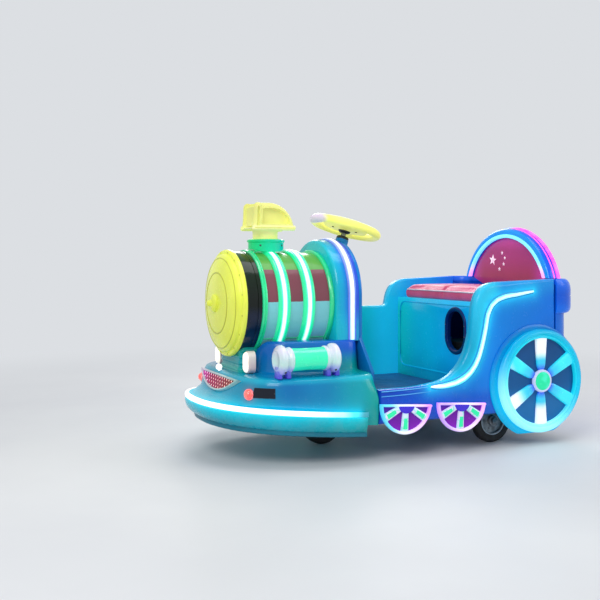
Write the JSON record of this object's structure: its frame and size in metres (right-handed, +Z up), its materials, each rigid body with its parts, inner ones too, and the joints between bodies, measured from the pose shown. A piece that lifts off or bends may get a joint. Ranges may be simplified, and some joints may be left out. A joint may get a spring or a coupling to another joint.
{
  "type": "bumper car",
  "caption": "Electric bumper car in the form of a small steam engine, with a lit front bumper, open footwell, bench seat, steering wheel and turning wheels.",
  "frame": {"origin": "on the ground below the middle of the car", "axes": "+X forwards to the bumper's nose, +Y to the car's left, +Z up"},
  "size_m": [2.1, 1.1, 1.3],
  "materials": {
    "teal_shell": "moulded glass fibre with a glossy teal-blue coat",
    "blue_shell": "moulded glass fibre with a glossy azure coat",
    "royal_shell": "moulded glass fibre with a glossy royal blue coat",
    "aqua_shell": "moulded glass fibre with a glossy aqua coat",
    "green_gloss": "glossy green-turquoise coat",
    "turquoise_gloss": "glossy turquoise coat",
    "banded_shell": "glossy coat in olive, red-brown and grey-teal bands",
    "black_gloss": "glossy black coat",
    "yellow_gloss": "glossy yellow coat",
    "cream_gloss": "glossy pale yellow coat",
    "lilac_gloss": "glossy pale lilac coat",
    "light_strip": "milky diffuser over a light strip",
    "pink_strip": "milky pink diffuser over a light strip",
    "lamp_white": "milky white lamp cover",
    "lamp_red": "translucent red lens",
    "grille_red": "glossy red coat",
    "pink_panel": "glossy magenta coat",
    "cyan_gloss": "glossy cyan coat",
    "purple_gloss": "glossy violet coat",
    "steel_frame": "dark painted steel tube",
    "steel": "turned steel",
    "cast_hub": "cast and turned",
    "tyre": "solid black rubber",
    "seat_cover": "pink-red artificial leather with pale piping",
    "battery_case": "ribbed black case",
    "pedal_rubber": "ribbed rubber"
  },
  "bodies": {
    "car": {"chassis": "steel_frame", "floor_pan": "blue_shell", "front_body": "teal_shell", "bumper": "teal_shell", "bumper_light": "light_strip", "boiler": "banded_shell", "boiler_hoops": "green_gloss", "hoop_lights": "light_strip", "smokebox_ring": "black_gloss", "smokebox_door": "yellow_gloss", "chimney_collar": "turquoise_gloss", "chimney_cap": "cream_gloss", "front_saddle": "teal_shell", "headlamps": "lamp_white", "grille_rim": "lamp_white", "grille_lattice": "grille_red", "signal_lamps": "lamp_red", "hood": "blue_shell", "hood_light": "light_strip", "dash_panel": "blue_shell", "cylinder_tubes": "green_gloss", "cylinder_flanges": "lilac_gloss", "rear_axle": "steel_frame", "left_wall": "blue_shell", "right_wall": "blue_shell", "rear_wall": "royal_shell", "rear_rim": "royal_shell", "seat_box": "aqua_shell", "seat_cushion": "seat_cover", "backrest_panel": "pink_panel", "backrest_arch": "blue_shell", "backrest_lights": "pink_strip", "wall_lights": "light_strip", "large_wheels": "cyan_gloss", "half_wheels": "purple_gloss", "battery": "battery_case", "pedal": "pedal_rubber"},
    "steering": {"steering_wheel": "yellow_gloss", "steering_shaft": "steel"},
    "fork": {"front_fork": "steel_frame"},
    "front_wheel": {"front_hub": "cast_hub", "front_tyre": "tyre"},
    "rear_left_wheel": {"rear_left_hub": "cast_hub", "rear_left_tyre": "tyre"},
    "rear_right_wheel": {"rear_right_hub": "cast_hub", "rear_right_tyre": "tyre"}
  },
  "joints": [
    {"name": "steering_turn", "type": "hinge", "parent": "car", "child": "steering", "pos_m": [0.164, 0, 1.177], "axis": [-0.2924, 0, 0.9563], "range_deg": [-45, 45]},
    {"name": "fork_steer", "type": "hinge", "parent": "car", "child": "fork", "pos_m": [0.31, 0, 0.3], "axis": [0, 0, 1], "range_deg": [-45, 45]},
    {"name": "front_roll", "type": "hinge", "parent": "fork", "child": "front_wheel", "pos_m": [0.31, 0, 0.12], "axis": [0, 1, 0], "continuous": true},
    {"name": "rear_left_roll", "type": "hinge", "parent": "car", "child": "rear_left_wheel", "pos_m": [-0.552, 0.352, 0.12], "axis": [0, 1, 0], "continuous": true},
    {"name": "rear_right_roll", "type": "hinge", "parent": "car", "child": "rear_right_wheel", "pos_m": [-0.552, -0.352, 0.12], "axis": [0, 1, 0], "continuous": true}
  ],
  "couplings": [
    {"joint": "fork_steer", "follows": "steering_turn", "ratio": 1}
  ]
}
